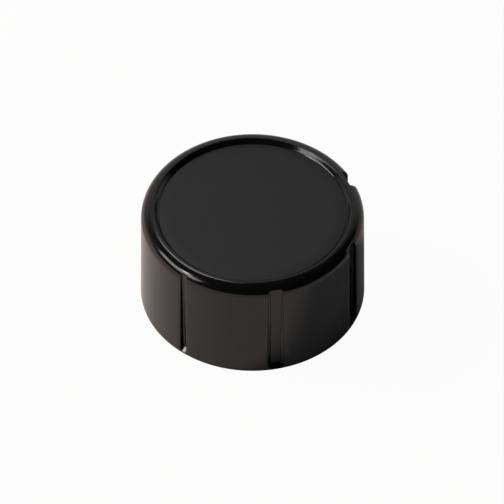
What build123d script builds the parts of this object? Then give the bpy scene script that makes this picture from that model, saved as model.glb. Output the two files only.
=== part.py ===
from build123d import *
import math
import os

# Push-on control knob, standing on the rim of its skirt. Millimetres and degrees, +Z up, the origin
# in the middle of the foot plane. Azimuths run from the front (-Y) towards +X.

# Outer form: a drafted cylinder with a rounded shoulder
base_radius = 20.0
height = 20.4
wall_draft = 1.5
shoulder_round = 2.1
foot_round = 0.25

# Top: a narrow rim, a sloped inner flank and a sunk flat face
rim_land = 0.15
rim_flank_run = 0.68
face_recess = 0.75
rim_edge_round = 0.3

# Guide grooves down the side, open through the shoulder and closed by a ramp above the foot. Each groove:
# azimuth, width of its mouth, width of its floor, depth at the foot plane, depth at the top plane
grooves = (
    (-37.7, 1.3, 1.1, 0.95, 0.42),
    (12.0, 2.95, 2.0, 0.95, 0.42),
    (63.5, 2.8, 2.6, 0.95, 0.42),
    (114.3, 3.9, 3.7, 1.47, 1.47),
)
groove_foot = 0.3
groove_ramp = 38.0
groove_root_round = 0.25
groove_excess = 1.0

# Hollow underside
skirt_wall = 2.6
top_wall = 2.0
inner_draft = 1.0
inner_round = 0.8

# Hub: root, seat of the spring and retaining lip
hub_foot = 1.5
hub_radius = 5.7
seat_wall = 2.0
lip_step = 0.45
lip_height = 0.9
lip_chamfer = 0.4
hub_slot_width = 1.0
hub_slot_above_spring = 1.8

# Shaft that the hub pushes on to: round at its root, with one flat on the +Y side of its tip
shaft_radius = 3.0
shaft_flat = 2.0
shaft_clearance = 0.05
pilot_clearance = 0.1
pilot_depth = 5.5
pilot_taper = 0.7
bore_depth = 13.0
bore_lead_in = 0.5

# Gussets between hub and skirt
rib_count = 4
rib_first_azimuth = 45.0
rib_thickness = 1.2
rib_above_seat = 1.4
rib_rise = 4.0

# Spring: a strip of spring steel bent to an open ring with turned-out ends
spring_thickness = 0.5
spring_height = 5.0
spring_gap = 64.0
spring_end_radius = 0.9
spring_end_turn = 70.0
spring_side_clearance = 0.02
spring_end_clearance = 0.1

# Places that follow from the sizes above
top_radius = base_radius - height * math.tan(math.radians(wall_draft))
rim_inner_radius = top_radius - shoulder_round - rim_land
face_radius = rim_inner_radius - rim_flank_run
face_level = height - face_recess
ceiling = face_level - top_wall
skirt_inner_radius = base_radius - skirt_wall
bore_radius = shaft_radius + shaft_clearance
bore_flat = shaft_flat + shaft_clearance
pilot_radius = shaft_radius + pilot_clearance
seat_radius = pilot_radius + seat_wall
lip_radius = seat_radius + lip_step
seat_foot = hub_foot + lip_height
seat_head = seat_foot + spring_height + 2 * spring_end_clearance
spring_foot = seat_foot + spring_end_clearance
spring_inner_radius = seat_radius + spring_side_clearance


def corner(sketch, radius, level):
    """The corner of a section nearest to a radius and a level."""
    return sketch.vertices().sort_by_distance((radius, 0, level))[0]


def moulded_section():
    """Half section of skirt, top and hub as one wall, on the plane through the axis."""
    ceiling_radius = skirt_inner_radius - ceiling * math.tan(math.radians(inner_draft))
    root_radius = hub_radius + (ceiling - seat_head) * math.tan(math.radians(inner_draft))
    outline = Polyline(
        (0, face_level),
        (face_radius, face_level),
        (rim_inner_radius, height),
        (top_radius, height),
        (base_radius, 0),
        (skirt_inner_radius, 0),
        (ceiling_radius, ceiling),
        (root_radius, ceiling),
        (hub_radius, seat_head),
        (seat_radius, seat_head),
        (seat_radius, seat_foot),
        (lip_radius, seat_foot),
        (lip_radius, hub_foot),
        (0, hub_foot),
        close=True,
    )
    section = Plane.XZ * make_face(outline)
    section = fillet(corner(section, top_radius, height), shoulder_round)
    section = fillet(corner(section, rim_inner_radius, height), rim_edge_round)
    section = fillet(corner(section, base_radius, 0), foot_round)
    section = fillet(corner(section, skirt_inner_radius, 0), foot_round)
    section = fillet(corner(section, ceiling_radius, ceiling), inner_round)
    section = fillet(corner(section, root_radius, ceiling), inner_round)
    section = chamfer(corner(section, lip_radius, hub_foot), lip_chamfer)
    return section


def gusset(azimuth):
    """Rib from hub to skirt under the top, its free edge rising outwards."""
    hub_side = (pilot_radius + hub_radius) / 2
    skirt_side = skirt_inner_radius + skirt_wall / 4
    roof = ceiling + top_wall / 2
    foot = seat_head + rib_above_seat
    outline = Polyline(
        (hub_side, foot),
        (skirt_side, foot + rib_rise),
        (skirt_side - roof * math.tan(math.radians(inner_draft)), roof),
        (hub_side, roof),
        close=True,
    )
    web = extrude(Plane.XZ * make_face(outline), rib_thickness / 2, both=True)
    return Rot(0, 0, azimuth) * web


def shaft_bore():
    """Blind bore: flared mouth, round pilot, a slight taper, and above it a stretch with one flat."""
    mouth_radius = pilot_radius + bore_lead_in
    taper_middle = hub_foot + pilot_depth + pilot_taper / 2
    mouth = Pos(0, 0, hub_foot + bore_lead_in / 2) * Cone(mouth_radius, pilot_radius, bore_lead_in)
    pilot = Pos(0, 0, hub_foot) * extrude(Circle(pilot_radius), pilot_depth)
    taper = Pos(0, 0, taper_middle) * Cone(pilot_radius, bore_radius, pilot_taper)
    beyond_flat = Pos(0, bore_flat + bore_radius) * Rectangle(2 * bore_radius, 2 * bore_radius)
    keyed = Pos(0, 0, hub_foot) * extrude(Circle(bore_radius) - beyond_flat, bore_depth)
    return mouth + pilot + taper + keyed


def hub_slots():
    """Slot across the hub that lets its two halves spring apart."""
    slot_height = seat_head + hub_slot_above_spring - hub_foot
    across = 2 * (lip_radius + hub_slot_width)
    return Pos(0, 0, hub_foot + slot_height / 2) * Box(across, hub_slot_width, slot_height)


def groove_section(level, floor_radius, floor, flare):
    """Trapezoid across a groove at one level, its roots rounded, reaching out beyond the wall."""
    outside = base_radius + groove_excess
    half_outside = floor / 2 + (outside - floor_radius) * flare
    outline = Polyline(
        (-floor / 2, -floor_radius),
        (floor / 2, -floor_radius),
        (half_outside, -outside),
        (-half_outside, -outside),
        close=True,
    )
    section = make_face(outline)
    roots = section.vertices().sort_by(Axis.Y)[-2:]
    return Pos(0, 0, level) * fillet(roots, groove_root_round)


def guide_groove(azimuth, mouth, floor, foot_depth, top_depth):
    """Channel with a flat floor and flared sides, cut off below by a ramp that falls outwards."""
    flare = (mouth - floor) / 2 / foot_depth
    foot_radius = base_radius - foot_depth
    channel = loft(
        [
            groove_section(0, foot_radius, floor, flare),
            groove_section(height + groove_excess, top_radius - top_depth, floor, flare),
        ],
        ruled=True,
    )
    fall = math.radians(groove_ramp)
    ramp = Plane(
        origin=(0, -base_radius, groove_foot),
        z_dir=(0, -math.sin(fall), math.cos(fall)),
    )
    return Rot(0, 0, azimuth) * split(channel, bisect_by=ramp, keep=Keep.TOP)


def knob_body():
    """The whole moulding: turned section, gussets, bore, slot and grooves."""
    body = revolve(moulded_section(), Axis.Z)
    for number in range(rib_count):
        body += gusset(rib_first_azimuth + number * 360 / rib_count)
    body -= shaft_bore()
    body -= hub_slots()
    for groove in grooves:
        body -= guide_groove(*groove)
    return body


def spring_clip():
    """Open ring of strip steel round the hub's seat, its ends turned outwards, open to the front."""
    middle = spring_inner_radius + spring_thickness / 2
    start = -90 + spring_gap / 2
    sweep = 360 - spring_gap
    ring = CenterArc((0, 0), middle, start, sweep)
    lips = [
        JernArc(ring @ 1, ring % 1, spring_end_radius, -spring_end_turn),
        JernArc(ring @ 0, -(ring % 0), spring_end_radius, spring_end_turn),
    ]
    strip = trace([ring, *lips], spring_thickness)
    return Pos(0, 0, spring_foot) * extrude(strip, spring_height)


os.makedirs("parts", exist_ok=True)
for name, make in {"knob_body": knob_body, "spring_clip": spring_clip}.items():
    export_step(make(), f"parts/{name}.step")
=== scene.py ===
import math

import bmesh
import bpy
import numpy as np
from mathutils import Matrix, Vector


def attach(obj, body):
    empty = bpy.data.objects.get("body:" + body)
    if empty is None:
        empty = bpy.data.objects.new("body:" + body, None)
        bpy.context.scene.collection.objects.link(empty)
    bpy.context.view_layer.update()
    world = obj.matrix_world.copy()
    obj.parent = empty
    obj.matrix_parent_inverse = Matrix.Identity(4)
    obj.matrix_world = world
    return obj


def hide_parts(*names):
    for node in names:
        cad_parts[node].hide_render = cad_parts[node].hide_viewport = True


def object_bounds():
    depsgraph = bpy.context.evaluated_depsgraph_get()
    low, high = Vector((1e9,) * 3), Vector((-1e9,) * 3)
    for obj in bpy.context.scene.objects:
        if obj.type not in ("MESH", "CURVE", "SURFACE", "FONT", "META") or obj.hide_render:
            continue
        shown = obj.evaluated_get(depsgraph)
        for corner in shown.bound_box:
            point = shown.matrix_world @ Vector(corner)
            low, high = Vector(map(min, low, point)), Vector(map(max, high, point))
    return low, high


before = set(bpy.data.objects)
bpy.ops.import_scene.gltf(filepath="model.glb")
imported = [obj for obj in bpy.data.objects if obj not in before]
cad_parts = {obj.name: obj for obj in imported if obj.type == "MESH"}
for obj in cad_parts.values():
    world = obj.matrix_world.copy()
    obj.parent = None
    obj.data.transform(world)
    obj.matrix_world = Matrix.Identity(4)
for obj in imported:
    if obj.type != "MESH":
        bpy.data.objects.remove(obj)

cad_low, cad_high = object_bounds()

# Knob moulding: skirt, top, hub and gussets in one shot of glossy black plastic. The outside of the
# mould is polished, the sunk top face spark-eroded to a fine matte grain, and the hollow underside
# left as machined. The knob stands on the rim of its skirt and pushes on to the shaft with its hub.
mm = 0.001
foot_radius = 20.0 * mm
knob_height = cad_high.z
wall_slope = math.tan(math.radians(1.5))
shoulder_round = 2.1 * mm
foot_round = 0.25 * mm
rim_width = 2.25 * mm
rim_flank_run = 0.68 * mm
rim_edge_round = 0.3 * mm
face_recess = 0.75 * mm

# A hairline crease in the corner where the matte face meets the rim's polished flank.
crease_width = 0.08 * mm
crease_depth = 0.05 * mm
crease_round = 0.03 * mm

# Guide grooves, in order from the left one to the one at the back right. Azimuths run from the front (-Y)
# towards +X. A floor's depth under the wall goes evenly from that at the foot to that at the top.
groove_azimuths = np.radians([-37.7, 12.0, 63.5, 114.3])
groove_mouths = np.array([1.3, 2.95, 2.8, 3.9]) * mm
groove_floors = np.array([1.1, 2.0, 2.6, 3.7]) * mm
groove_foot_depths = np.array([0.95, 0.95, 0.95, 1.47]) * mm
groove_top_depths = np.array([0.42, 0.42, 0.68, 1.47]) * mm
groove_root_rounds = np.array([0.25, 0.25, 0.1, 0.25]) * mm
groove_edge_rounds = np.array([0.12, 0.3, 0.12, 0.06]) * mm
groove_foot = 0.3 * mm
groove_ramp = math.tan(math.radians(38))
groove_end_blend = 0.1 * mm

skirt_wall = 2.6 * mm
top_wall = 2.0 * mm
inner_slope = math.tan(math.radians(1.0))
inner_round = 0.8 * mm
tool_round = 0.08 * mm

hub_foot = 1.5 * mm
hub_radius = 5.7 * mm
seat_radius = 5.1 * mm
seat_foot = 2.4 * mm
seat_head = 7.6 * mm
lip_radius = 5.55 * mm
lip_chamfer = 0.4 * mm
slot_azimuths = np.radians([-90.0, 90.0])
slot_half = 0.5 * mm
slot_head = 9.4 * mm

pilot_radius = 3.1 * mm
pilot_head = 7.0 * mm
bore_radius = 3.05 * mm
bore_flat = 2.05 * mm
bore_head = 14.5 * mm
bore_lead_in = 0.5 * mm
key_foot = 7.7 * mm
key_step = 0.02 * mm

rib_azimuths = np.radians([-135.0, -45.0, 45.0, 135.0])
rib_half = 0.6 * mm
rib_foot = 9.0 * mm
rib_foot_radius = 4.4 * mm
rib_end_radius = 18.05 * mm
rib_end_rise = 4.0 * mm

face_level = knob_height - face_recess
ceiling = face_level - top_wall
top_radius = foot_radius - knob_height * wall_slope
rim_radius = top_radius - rim_width
skirt_inner_radius = foot_radius - skirt_wall
ceiling_radius = skirt_inner_radius - ceiling * inner_slope
root_radius = hub_radius + (ceiling - seat_head) * inner_slope

# The grid: the level under which rows lie close together for the ramps, the radius within which the fans
# across the grooves narrow in proportion, the points in each of a fan's arcs, the angle between even
# columns, the least they keep from other columns, and the parts that columns play.
ramp_rows_head = 1.7 * mm
groove_hold = 17.0 * mm
groove_arc_points = 5
column_step = math.radians(1.5)
least_column_gap = column_step / 3
plain, slot_wall, in_slot, in_gusset, in_groove = range(5)

# Half section from the middle of the top face, over the rim, down the wall, up the hollow, round the hub
# and up the bore to its end. Each corner: radius, level, round, steps on the run to it, rows in its round.
half_section = {
    "face_middle": (0, face_level, 0, 0, 0),
    "face_edge": (rim_radius - rim_flank_run - crease_width, face_level, crease_round, 8, 3),
    "crease": (rim_radius - rim_flank_run, face_level - crease_depth, crease_round, 1, 3),
    "rim": (rim_radius, knob_height, rim_edge_round, 3, 7),
    "shoulder": (top_radius, knob_height, shoulder_round, 1, 34),
    "ramps": (foot_radius - ramp_rows_head * wall_slope, ramp_rows_head, 0, 12, 1),
    "foot": (foot_radius, 0, foot_round, 22, 6),
    "skirt_inside": (skirt_inner_radius, 0, foot_round, 3, 5),
    "ceiling_edge": (ceiling_radius, ceiling, inner_round, 9, 6),
    "hub_root": (root_radius, ceiling, inner_round, 8, 6),
    "hub_shelf": (hub_radius, seat_head, tool_round, 6, 2),
    "seat_head": (seat_radius, seat_head, tool_round, 1, 2),
    "seat_foot": (seat_radius, seat_foot, tool_round, 3, 2),
    "lip_head": (lip_radius, seat_foot, tool_round, 1, 2),
    "lip_side": (lip_radius, hub_foot + lip_chamfer, tool_round, 1, 2),
    "lip_foot": (lip_radius - lip_chamfer, hub_foot, tool_round, 1, 2),
    "mouth": (pilot_radius + bore_lead_in, hub_foot, tool_round, 3, 2),
    "pilot_foot": (pilot_radius, hub_foot + bore_lead_in, tool_round, 1, 2),
    "pilot_head": (pilot_radius, pilot_head, tool_round, 3, 2),
    "taper_head": (bore_radius, key_foot, tool_round, 1, 2),
    "key_foot": (bore_radius, key_foot + key_step, 0, 1, 1),
    "bore_head": (bore_radius, bore_head, tool_round, 4, 2),
    "bore_middle": (0, bore_head, 0, 4, 0),
}


def rounded_outline(corners, radii, run_steps, arc_rows):
    """Rows along a line of straight runs with an arc at each corner.

    An arc of radius R leaves each run R*tan(turn/2) before the corner. Its middle lies on the corner's
    bisector, R/cos(turn/2) away, and it turns about that middle by the angle between the two runs; with
    no turn all its rows lie on the corner. Each arc and each run is divided evenly. Returns the points and
    each row's place along the outline, where corner k is at k.
    """
    run = np.diff(corners, axis=0)
    along = run / np.linalg.norm(run, axis=1)[:, None]
    before, after = along[:-1], along[1:]
    turn = np.arctan2(before[:, 0] * after[:, 1] - before[:, 1] * after[:, 0], (before * after).sum(1))
    no_turn = 1e-9
    inward = (after - before) / np.maximum(np.linalg.norm(after - before, axis=1), no_turn)[:, None]
    middles = corners[1:-1] + inward * (radii / np.cos(turn / 2))[:, None]
    sideways = inward[:, ::-1] * [1, -1]
    points, places = [corners[:1]], [np.zeros(1)]
    for k in range(len(turn)):
        swing = np.linspace(-turn[k] / 2, turn[k] / 2, arc_rows[k])[:, None]
        arc = middles[k] + radii[k] * (sideways[k] * np.sin(swing) - inward[k] * np.cos(swing))
        share = np.linspace(0, 1, run_steps[k] + 1)[1:-1, None]
        points += [points[-1][-1] + (arc[0] - points[-1][-1]) * share, arc]
        places += [k + share[:, 0], np.full(arc_rows[k], k + 1.0)]
    share = np.linspace(0, 1, run_steps[-1] + 1)[1:, None]
    points.append(points[-1][-1] + (corners[-1] - points[-1][-1]) * share)
    places.append(len(turn) + share[:, 0])
    return np.vstack(points), np.concatenate(places)


def soft_min(a, b, blend):
    """The lower of two heights; where they differ by less than blend, a parabola rounds the crease."""
    near = np.clip(blend - np.abs(a - b), 0, None) / blend
    return np.minimum(a, b) - near**2 * blend / 4


def groove_fan(radius, level):
    """Azimuths and radii across the grooves, for rows of given radius and level.

    Across a groove the section is a flat floor, an arc up to the sloped side, the side and an arc over its
    edge, laid out by the distance from the middle plane. The floor stands at F from the axis, which goes
    evenly from foot to top, or on the ramp, at base radius - (level - ramp's foot)/slope, if that is farther
    out. The wall stands at sqrt(radius^2 - across^2) and ends the groove where it comes inside the floor.
    """
    radius, level = radius[:, None, None], level[:, None, None]
    floor, mouth = groove_floors[:, None] / 2, groove_mouths[:, None] / 2
    foot_depth, top_depth = groove_foot_depths[:, None], groove_top_depths[:, None]
    root_round, edge_round = groove_root_rounds[:, None], groove_edge_rounds[:, None]
    flare = (mouth - floor) / foot_depth
    held = np.maximum(radius, groove_hold)

    lean = foot_depth - top_depth - knob_height * wall_slope
    flat_at = foot_radius - foot_depth + lean * level / knob_height
    ramp_at = foot_radius - (level - groove_foot) / groove_ramp
    floor_at = -soft_min(-flat_at, -ramp_at, groove_end_blend)
    depth = np.clip(np.sqrt(held**2 - mouth**2) - floor_at, 0, None)
    fullness = np.clip(depth / (root_round + edge_round), 0, 1)

    turn = np.linspace(0, math.pi / 2, groove_arc_points)
    flat_shares = np.array([0, 0.35, 0.7])
    flat = (floor - root_round) * flat_shares + 0 * depth
    root = floor - root_round * (1 - np.sin(turn)) + 0 * depth
    edge = floor + flare * depth + edge_round * (1 - np.cos(turn))
    across = np.concatenate([flat, root, edge], -1)
    wall = np.sqrt(held**2 - across**2)
    root_rise = root_round * fullness * (1 - np.cos(turn))
    bottom = floor_at + np.concatenate([0 * flat, root_rise], -1)
    rim = wall[..., -groove_arc_points:] - edge_round * fullness * (1 - np.sin(turn))
    along = soft_min(wall[..., :-groove_arc_points], bottom, groove_end_blend)
    along = np.concatenate([along, rim], -1)

    across = np.concatenate([-across[..., :0:-1], across], -1)
    along = np.concatenate([along[..., :0:-1], along], -1)
    azimuth = groove_azimuths[:, None] + np.arctan2(across, along)
    reach = np.hypot(across, along) * radius / held
    return azimuth.reshape(len(radius), -1), reach.reshape(len(radius), -1)


def moulding_columns():
    """Azimuths of the grid's columns, and the part each plays.

    Even columns all round give way to a fan across each groove. At each wall of the hub slot three columns
    stand in one place, and at each wall of a gusset two, so that the faces between them make that wall.
    """
    fan = groove_fan(np.array([foot_radius]), np.zeros(1))[0][0]
    fan_reach = np.arcsin((groove_mouths / 2 + groove_edge_rounds) / groove_hold)
    slot_edge = math.asin(slot_half / root_radius)
    slot_share = np.array([-1, -1, -1, -0.5, 0, 0.5, 1, 1, 1])
    slot_part = [plain, slot_wall, in_slot, in_slot, in_slot, in_slot, in_slot, slot_wall, plain]
    rib_edge = math.asin(rib_half / skirt_inner_radius)
    rib_share = np.array([-1, -1, -0.5, 0, 0.5, 1, 1])
    rib_part = [plain, in_gusset, in_gusset, in_gusset, in_gusset, in_gusset, plain]

    even = np.arange(-math.pi, math.pi, column_step)
    special = [(groove_azimuths, fan_reach), (slot_azimuths, slot_edge), (rib_azimuths, rib_edge)]
    for azimuths, reach in special:
        apart = np.abs(np.angle(np.exp(1j * (even[:, None] - azimuths)))) - reach
        even = even[apart.min(1) > least_column_gap]
    slots = (slot_azimuths[:, None] + slot_share * slot_edge).ravel()
    ribs = (rib_azimuths[:, None] + rib_share * rib_edge).ravel()
    azimuth = np.concatenate([even, slots, ribs, fan])
    slot_parts = np.tile(slot_part, len(slot_azimuths))
    rib_parts = np.tile(rib_part, len(rib_azimuths))
    part = np.concatenate(
        [np.full(len(even), plain), slot_parts, rib_parts, np.full(len(fan), in_groove)]
    )
    order = np.argsort(azimuth, kind="stable")
    return azimuth[order], part[order]


def parallel_azimuth(azimuth, radius):
    """Azimuths shifted with the radius, so that the walls of slot and gussets stay parallel.

    A wall at h from its middle plane stands at asin(h/radius) from it. Columns between two walls keep
    their share of the angle between them.
    """
    walls = [2 * len(rib_azimuths), 2 * len(slot_azimuths)]
    middle = np.repeat(np.concatenate([rib_azimuths, slot_azimuths]), 2)
    half = np.repeat([rib_half, slot_half], walls) * np.tile([-1, 1], len(middle) // 2)
    least = np.repeat([seat_radius, bore_radius], walls)
    most = np.repeat([skirt_inner_radius, root_radius], walls)
    at_most = middle + np.arcsin(half / most)
    order = np.argsort(at_most)
    order = np.concatenate([order[-1:], order, order[:1]])
    lap = np.zeros(len(order))
    lap[0], lap[-1] = -2 * math.pi, 2 * math.pi
    wall = at_most[order] + lap
    left = np.searchsorted(wall, azimuth, side="right") - 1
    share = (azimuth - wall[left]) / (wall[left + 1] - wall[left])

    def turned(k):
        """Azimuth of wall k at each radius, held within the radii between which the wall stands."""
        reach = np.clip(radius, least[order][k], most[order][k])
        return middle[order][k] + lap[k] + np.arcsin(half[order][k] / reach)

    return turned(left) * (1 - share) + turned(left + 1) * share


def moulding_surface():
    """The whole skin of the moulding as one grid of rows along the half section and columns round the axis.

    The half section is turned about the axis. On the outside the columns across the grooves follow the
    grooves' sections. In the slot's columns the lip is cut back to the seat and all levels raised to the
    slot's head; in the gussets' columns all levels are lowered to the gusset's sloping edge. Beyond the
    key's foot the bore's radius is held under the flat. Returns the points, each row's place on the half
    section and the corners' numbers.
    """
    radii, levels, rounds, steps, rows = np.array(list(half_section.values()), float).T
    steps, rows = steps[1:].astype(int), rows[1:-1].astype(int)
    outline, place = rounded_outline(np.column_stack([radii, levels]), rounds[1:-1], steps, rows)
    corner = {name: k for k, name in enumerate(half_section)}
    columns, part = moulding_columns()
    azimuth = np.repeat(columns[None], len(place), axis=0)
    radius = np.repeat(outline[:, :1], len(columns), axis=1)
    level = np.repeat(outline[:, 1:], len(columns), axis=1)

    outside = np.nonzero(place < corner["skirt_inside"])[0]
    across_groove = np.nonzero(part == in_groove)[0]
    turned, reach = groove_fan(outline[outside, 0], outline[outside, 1])
    azimuth[np.ix_(outside, across_groove)] = turned
    radius[np.ix_(outside, across_groove)] = reach

    hub = place >= corner["hub_root"]
    cut_back = np.minimum.accumulate(radius[hub], axis=0)
    radius[hub] = np.where((part == slot_wall) | (part == in_slot), cut_back, radius[hub])
    level[hub] = np.where(part == in_slot, np.maximum(level[hub], slot_head), level[hub])

    hollow = (place > corner["skirt_inside"]) & (place < corner["seat_head"])
    rib_slope = rib_end_rise / (rib_end_radius - rib_foot_radius)
    rib_edge = rib_foot + (radius[hollow] - rib_foot_radius) * rib_slope
    level[hollow] = np.where(part == in_gusset, np.minimum(level[hollow], rib_edge), level[hollow])

    within = place >= corner["skirt_inside"]
    azimuth[within] = parallel_azimuth(columns, radius[within])
    keyed = place >= corner["key_foot"]
    beside_flat = 0.1
    towards_flat = np.maximum(-np.cos(azimuth[keyed]), beside_flat)
    radius[keyed] *= np.minimum(1, bore_flat / bore_radius / towards_flat)
    return np.stack([radius * np.sin(azimuth), -radius * np.cos(azimuth), level], -1), place, corner


def grid_piece(name, points, finish, materials):
    """A mesh object from a grid of points whose columns close into a ring.

    Faces join neighbouring rows and columns. Points that coincide, at poles and at doubled columns, are
    merged, which drops the faces without area. finish gives the number of each row of faces' material.
    """
    weld_distance = 2e-7
    sharp_angle = math.radians(38)
    rows, columns = points.shape[:2]
    number = np.arange(rows * columns).reshape(rows, columns)
    following = np.roll(number, -1, axis=1)
    quads = np.stack([number[:-1], number[1:], following[1:], following[:-1]], -1).reshape(-1, 4)
    mesh = bpy.data.meshes.new(name)
    mesh.from_pydata(points.reshape(-1, 3), [], quads, shade_flat=False)
    mesh.polygons.foreach_set("material_index", np.repeat(finish, columns))
    welded = bmesh.new()
    welded.from_mesh(mesh)
    bmesh.ops.remove_doubles(welded, verts=welded.verts, dist=weld_distance)
    welded.to_mesh(mesh)
    welded.free()
    mesh.set_sharp_from_angle(angle=sharp_angle)
    for material in materials:
        mesh.materials.append(material)
    piece = bpy.data.objects.new(name, mesh)
    bpy.context.scene.collection.objects.link(piece)
    return piece


def new_finish(name, colour, roughness, **even_values):
    """A material with one shader: its mean colour and roughness, and values that are even all over."""
    material = bpy.data.materials.new(name)
    material.use_nodes = True
    shader = material.node_tree.nodes["Principled BSDF"]
    shader.inputs["Base Color"].default_value = (*colour, 1)
    shader.inputs["Roughness"].default_value = roughness
    for socket, value in even_values.items():
        shader.inputs[socket].default_value = value
    return material


def grain(material, size, detail=2.0, stretch=(1, 1, 1)):
    """Noise in the piece's own coordinates, with clumps of about that size, drawn out along the axes."""
    nodes, links = material.node_tree.nodes, material.node_tree.links
    place = nodes.new("ShaderNodeTexCoord")
    mapping = nodes.new("ShaderNodeMapping")
    mapping.inputs["Scale"].default_value = stretch
    noise = nodes.new("ShaderNodeTexNoise")
    noise.inputs["Scale"].default_value = 1 / size
    noise.inputs["Detail"].default_value = detail
    links.new(place.outputs["Object"], mapping.inputs["Vector"])
    links.new(mapping.outputs["Vector"], noise.inputs["Vector"])
    return noise.outputs["Fac"]


def spread(material, socket_name, pattern, low, high):
    """Sends a pattern to a socket of the shader, the pattern's middle range stretched from low to high."""
    range_start, range_end = 0.3, 0.7
    nodes, links = material.node_tree.nodes, material.node_tree.links
    socket = nodes["Principled BSDF"].inputs[socket_name]
    if socket.type == "RGBA":
        scale = nodes.new("ShaderNodeValToRGB")
        first, last = scale.color_ramp.elements
        first.position, last.position = range_start, range_end
        first.color, last.color = (*low, 1), (*high, 1)
        links.new(pattern, scale.inputs["Fac"])
        links.new(scale.outputs["Color"], socket)
        return
    scale = nodes.new("ShaderNodeMapRange")
    scale.inputs["From Min"].default_value, scale.inputs["From Max"].default_value = range_start, range_end
    scale.inputs["To Min"].default_value, scale.inputs["To Max"].default_value = low, high
    links.new(pattern, scale.inputs["Value"])
    links.new(scale.outputs["Result"], socket)


def relief(material, *layers):
    """Bumps on the surface: pairs of a pattern and its height in metres, each laid over the last."""
    nodes, links = material.node_tree.nodes, material.node_tree.links
    last = None
    for pattern, height in layers:
        bump = nodes.new("ShaderNodeBump")
        bump.inputs["Distance"].default_value = height
        links.new(pattern, bump.inputs["Height"])
        if last:
            links.new(last, bump.inputs["Normal"])
        last = bump.outputs["Normal"]
    links.new(last, nodes["Principled BSDF"].inputs["Normal"])


plastic_ior = 1.5

polished_black = new_finish("polished_black_plastic", (0.005, 0.005, 0.005), 0.12, IOR=plastic_ior)
flow_marks = grain(polished_black, size=9 * mm)
spread(polished_black, "Base Color", flow_marks, low=(0.0042, 0.0042, 0.0044), high=(0.0058, 0.0057, 0.0056))
handling_haze = grain(polished_black, size=5 * mm, detail=6.0)
spread(polished_black, "Roughness", handling_haze, low=0.1, high=0.17)
sink_marks = grain(polished_black, size=6 * mm, detail=1.0)
polishing_marks = grain(polished_black, size=0.5 * mm, detail=1.0)
relief(polished_black, (sink_marks, 0.004 * mm), (polishing_marks, 0.0003 * mm))

matte_black = new_finish("spark_eroded_black_plastic", (0.005, 0.005, 0.005), 0.42, IOR=plastic_ior)
face_speckle = grain(matte_black, size=0.14 * mm, detail=3.0)
spread(matte_black, "Base Color", face_speckle, low=(0.004, 0.004, 0.004), high=(0.006, 0.006, 0.006))
face_haze = grain(matte_black, size=12 * mm, detail=5.0)
spread(matte_black, "Roughness", face_haze, low=0.4, high=0.43)
spark_pits = grain(matte_black, size=0.1 * mm)
relief(matte_black, (spark_pits, 0.004 * mm))

inside_black = new_finish("machined_black_plastic", (0.008, 0.008, 0.008), 0.35, IOR=plastic_ior)
inside_flow = grain(inside_black, size=4 * mm, detail=4.0)
spread(inside_black, "Base Color", inside_flow, low=(0.006, 0.006, 0.006), high=(0.011, 0.011, 0.0105))
inside_haze = grain(inside_black, size=2 * mm, detail=6.0)
spread(inside_black, "Roughness", inside_haze, low=0.28, high=0.42)
turning_marks = grain(inside_black, size=0.12 * mm, detail=1.0, stretch=(0.05, 0.05, 1))
relief(inside_black, (turning_marks, 0.002 * mm))

points, place, corner = moulding_surface()
polished, matte, machined = range(3)
of_outside = np.where(place[:-1] < corner["face_edge"], matte, polished)
finish = np.where(place[:-1] < corner["skirt_inside"], of_outside, machined)
knob_moulding = grid_piece("knob_moulding", points, finish, [polished_black, matte_black, inside_black])
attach(knob_moulding, "root")
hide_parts("knob_body")

# Spring clip: a strip of rolled spring steel bent round the split hub, with its two ends turned out so that
# it can be spread. It snaps over the hub's lip into the seat and presses the two halves on to the shaft.
spring_thickness = 0.5 * mm
spring_height = 5.0 * mm
spring_foot = 2.5 * mm
spring_middle_radius = 5.37 * mm
spring_gap = math.radians(64)
spring_end_radius = 0.9 * mm
spring_end_turn = math.radians(70)
spring_edge_round = 0.12 * mm
spring_cap_share = 0.97
spring_ring_points = 120
spring_end_points = 16
spring_arc_points = 5


def spring_surface():
    """A rounded rectangle carried along the strip's middle line.

    The line is an arc about the axis, open to the front, whose ends go on as small arcs that bend the
    other way. Across the strip the section follows the line's outward normal, and its height is upright. The
    last section at each end shrinks to a point, which closes the cut end.
    """
    ring_end = 1.5 * math.pi - spring_gap / 2
    ring = np.linspace(math.pi - ring_end, ring_end, spring_ring_points)
    bend = np.linspace(0, spring_end_turn, spring_end_points)[1:]
    end_direction = np.array([math.cos(ring_end), math.sin(ring_end)])
    centre = (spring_middle_radius + spring_end_radius) * end_direction
    normal = ring_end - bend
    lip = centre - spring_end_radius * np.stack([np.cos(normal), np.sin(normal)], -1)
    ring_line = spring_middle_radius * np.stack([np.cos(ring), np.sin(ring)], -1)
    line = np.vstack([lip[::-1] * [-1, 1], ring_line, lip])
    outward = np.concatenate([math.pi - normal[::-1], ring, normal])
    line = np.vstack([line[:1], line[:1], line, line[-1:], line[-1:]])
    outward = np.concatenate([outward[:1], outward[:1], outward, outward[-1:], outward[-1:]])
    shrink = np.ones(len(outward))
    shrink[[0, -1]], shrink[[1, -2]] = 0, spring_cap_share

    quarters = np.arange(4)[:, None] * math.pi / 2
    turn = np.linspace(0, math.pi / 2, spring_arc_points) + quarters
    side, head = np.array([1, -1, -1, 1])[:, None], np.array([1, 1, -1, -1])[:, None]
    across = spring_edge_round * np.cos(turn) + side * (spring_thickness / 2 - spring_edge_round)
    up = spring_edge_round * np.sin(turn) + head * (spring_height / 2 - spring_edge_round)
    across = across.ravel() * shrink[:, None]
    up = up.ravel() * shrink[:, None] + spring_foot + spring_height / 2
    x = line[:, :1] + across * np.cos(outward)[:, None]
    y = line[:, 1:] + across * np.sin(outward)[:, None]
    return np.stack([x, y, up], -1)


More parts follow.
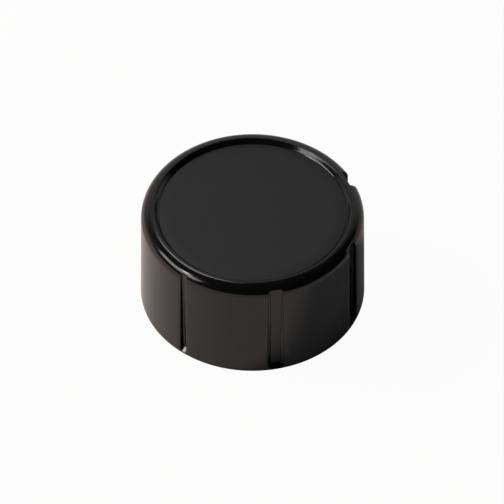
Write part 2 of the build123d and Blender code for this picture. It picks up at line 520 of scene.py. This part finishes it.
spring_steel = new_finish("rolled_spring_steel", (0.5, 0.49, 0.47), 0.3, Metallic=1.0)
rolled_bands = grain(spring_steel, size=0.4 * mm, detail=3.0, stretch=(0.1, 0.1, 1))
spread(spring_steel, "Base Color", rolled_bands, low=(0.42, 0.41, 0.39), high=(0.55, 0.54, 0.52))
rolled_haze = grain(spring_steel, size=0.25 * mm, detail=4.0, stretch=(0.06, 0.06, 1))
spread(spring_steel, "Roughness", rolled_haze, low=0.22, high=0.4)
rolling_lines = grain(spring_steel, size=0.1 * mm, stretch=(0.04, 0.04, 1))
relief(spring_steel, (rolling_lines, 0.0003 * mm))

points = spring_surface()
spring_clip = grid_piece("spring_clip_strip", points, np.zeros(len(points) - 1, int), [spring_steel])
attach(spring_clip, "root")
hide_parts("spring_clip")

# Floor: a wide sheet of plain white card that the knob stands on. It fills the view and shows a soft
# shadow; seen directly it is lifted towards white, and in a mirror a little.
floor_half = 1.5
floor_drop = 0.02 * mm
card_colour = (0.88, 0.88, 0.88, 1)
lift_seen = 0.96
lift_mirrored = 0.02


def number_node(tree, operation, *terms):
    """One step of arithmetic on up to three terms, each of them a socket or a plain number."""
    node = tree.nodes.new("ShaderNodeMath")
    node.operation = operation
    for socket, term in zip(node.inputs, terms):
        if isinstance(term, bpy.types.NodeSocket):
            tree.links.new(term, socket)
        else:
            socket.default_value = term
    return node.outputs["Value"]


floor_mesh = bpy.data.meshes.new("floor")
floor_corners = np.array([[-1, -1], [1, -1], [1, 1], [-1, 1]]) * floor_half
floor_mesh.from_pydata(np.column_stack([floor_corners, np.full(4, -floor_drop)]), [], [(0, 1, 2, 3)])
floor = bpy.data.objects.new("floor", floor_mesh)
bpy.context.scene.collection.objects.link(floor)

white_card = bpy.data.materials.new("white_card")
white_card.use_nodes = True
tree = white_card.node_tree
tree.nodes.clear()
output = tree.nodes.new("ShaderNodeOutputMaterial")
card = tree.nodes.new("ShaderNodeBsdfDiffuse")
card.inputs["Color"].default_value = card_colour
lift = tree.nodes.new("ShaderNodeEmission")
ray = tree.nodes.new("ShaderNodeLightPath").outputs
mirrored = number_node(tree, "ADD", ray["Is Glossy Ray"], ray["Is Transmission Ray"])
mirrored = number_node(tree, "MULTIPLY", mirrored, lift_mirrored)
lifted = number_node(tree, "MULTIPLY_ADD", ray["Is Camera Ray"], lift_seen, mirrored)
mixed = tree.nodes.new("ShaderNodeMixShader")
tree.links.new(lifted, mixed.inputs["Fac"])
tree.links.new(card.outputs["BSDF"], mixed.inputs[1])
tree.links.new(lift.outputs["Emission"], mixed.inputs[2])
tree.links.new(mixed.outputs["Shader"], output.inputs["Surface"])
floor_mesh.materials.append(white_card)


# Light: a warm lamp at the left that lights card and knob and isn't mirrored, a wide panel at the left that
# lights and is mirrored, a panel behind and a small spot at the left that are only mirrored, and a dim room
# that is brighter behind the knob and along the horizon there than above it and on the camera's side.
def soft_panel(name, towards, distance, size, radiance, tint=(1, 1, 1), glossy=True, diffuse=True):
    """A rectangular lamp facing the knob from a direction; its power is pi times area times radiance."""
    width, height = size
    lamp = bpy.data.lights.new(name, "AREA")
    lamp.shape = "RECTANGLE"
    lamp.size, lamp.size_y = width, height
    lamp.energy = math.pi * width * height * radiance
    lamp.color = tint
    panel = bpy.data.objects.new(name, lamp)
    direction = np.array(towards) / np.linalg.norm(towards)
    panel.location = direction * distance
    panel.rotation_mode = "QUATERNION"
    panel.rotation_quaternion = panel.location.to_track_quat("Z", "Y")
    panel.visible_glossy, panel.visible_diffuse = glossy, diffuse
    bpy.context.scene.collection.objects.link(panel)


soft_panel(
    "left_lamp",
    towards=(-0.8, 0.26, 0.55),
    distance=0.8,
    size=(0.26, 0.22),
    radiance=30.5,
    tint=(1, 0.79, 0.72),
    glossy=False,
)
soft_panel(
    "left_panel",
    towards=(-0.81, -0.187, 0.556),
    distance=1.2,
    size=(0.9, 0.36),
    radiance=4.6,
)
soft_panel(
    "back_left_panel",
    towards=(-0.17, 0.48, 0.86),
    distance=1.2,
    size=(0.24, 0.34),
    radiance=3.6,
    diffuse=False,
)
soft_panel(
    "left_spot",
    towards=(-0.68, -0.2, 0.7),
    distance=1.2,
    size=(0.14, 0.14),
    radiance=19.0,
    diffuse=False,
)

dark_level = 0.015
horizon_level = 0.4
back_wall_level = 0.5
horizon_fade = 0.03
room = bpy.data.worlds.new("room")
room.use_nodes = True
bpy.context.scene.world = room
tree = room.node_tree
direction = tree.nodes.new("ShaderNodeTexCoord")
part_of = tree.nodes.new("ShaderNodeSeparateXYZ")
tree.links.new(direction.outputs["Generated"], part_of.inputs["Vector"])


def room_step(axis, start, end, low, high):
    """A level that goes smoothly from low to high while one part of the direction goes from start to end."""
    step = tree.nodes.new("ShaderNodeMapRange")
    step.interpolation_type = "SMOOTHSTEP"
    step.inputs["From Min"].default_value, step.inputs["From Max"].default_value = start, end
    step.inputs["To Min"].default_value, step.inputs["To Max"].default_value = low, high
    tree.links.new(part_of.outputs[axis], step.inputs["Value"])
    return step.outputs["Result"]


to_the_back = room_step("Y", start=0.05, end=0.3, low=dark_level, high=horizon_level)
near_the_floor = room_step("Z", start=0.15, end=0.5, low=1, high=horizon_fade)
horizon = number_node(tree, "MULTIPLY", to_the_back, near_the_floor)
back_wall = room_step("Y", start=0.45, end=0.78, low=dark_level, high=back_wall_level)
room_light = tree.nodes["Background"].inputs
room_light["Color"].default_value = (1, 1, 1, 1)
tree.links.new(number_node(tree, "MAXIMUM", horizon, back_wall), room_light["Strength"])

# Camera: a long lens, looking down on the knob from the front. The picture's width, the foot's radius in it
# and the offset of the knob's middle from the picture's middle are in pixels.
image_width = 504
foot_radius_shown = 113.15
middle_right, middle_up = 0.55, 3.85
camera_distance = 0.6
camera_elevation = math.radians(47.03)
pixels_per_metre = foot_radius_shown / foot_radius
camera_data = bpy.data.cameras.new("camera")
camera_data.lens = pixels_per_metre * camera_distance * camera_data.sensor_width / image_width
camera_data.shift_x = -middle_right / image_width
camera_data.shift_y = -middle_up / image_width
camera_data.clip_start, camera_data.clip_end = 0.01, 10
camera = bpy.data.objects.new("camera", camera_data)
camera.location = (
    0,
    -camera_distance * math.cos(camera_elevation),
    knob_height / 2 + camera_distance * math.sin(camera_elevation),
)
camera.rotation_euler = (math.pi / 2 - camera_elevation, 0, 0)
bpy.context.scene.collection.objects.link(camera)
bpy.context.scene.camera = camera
bpy.context.scene.view_settings.view_transform = "Standard"
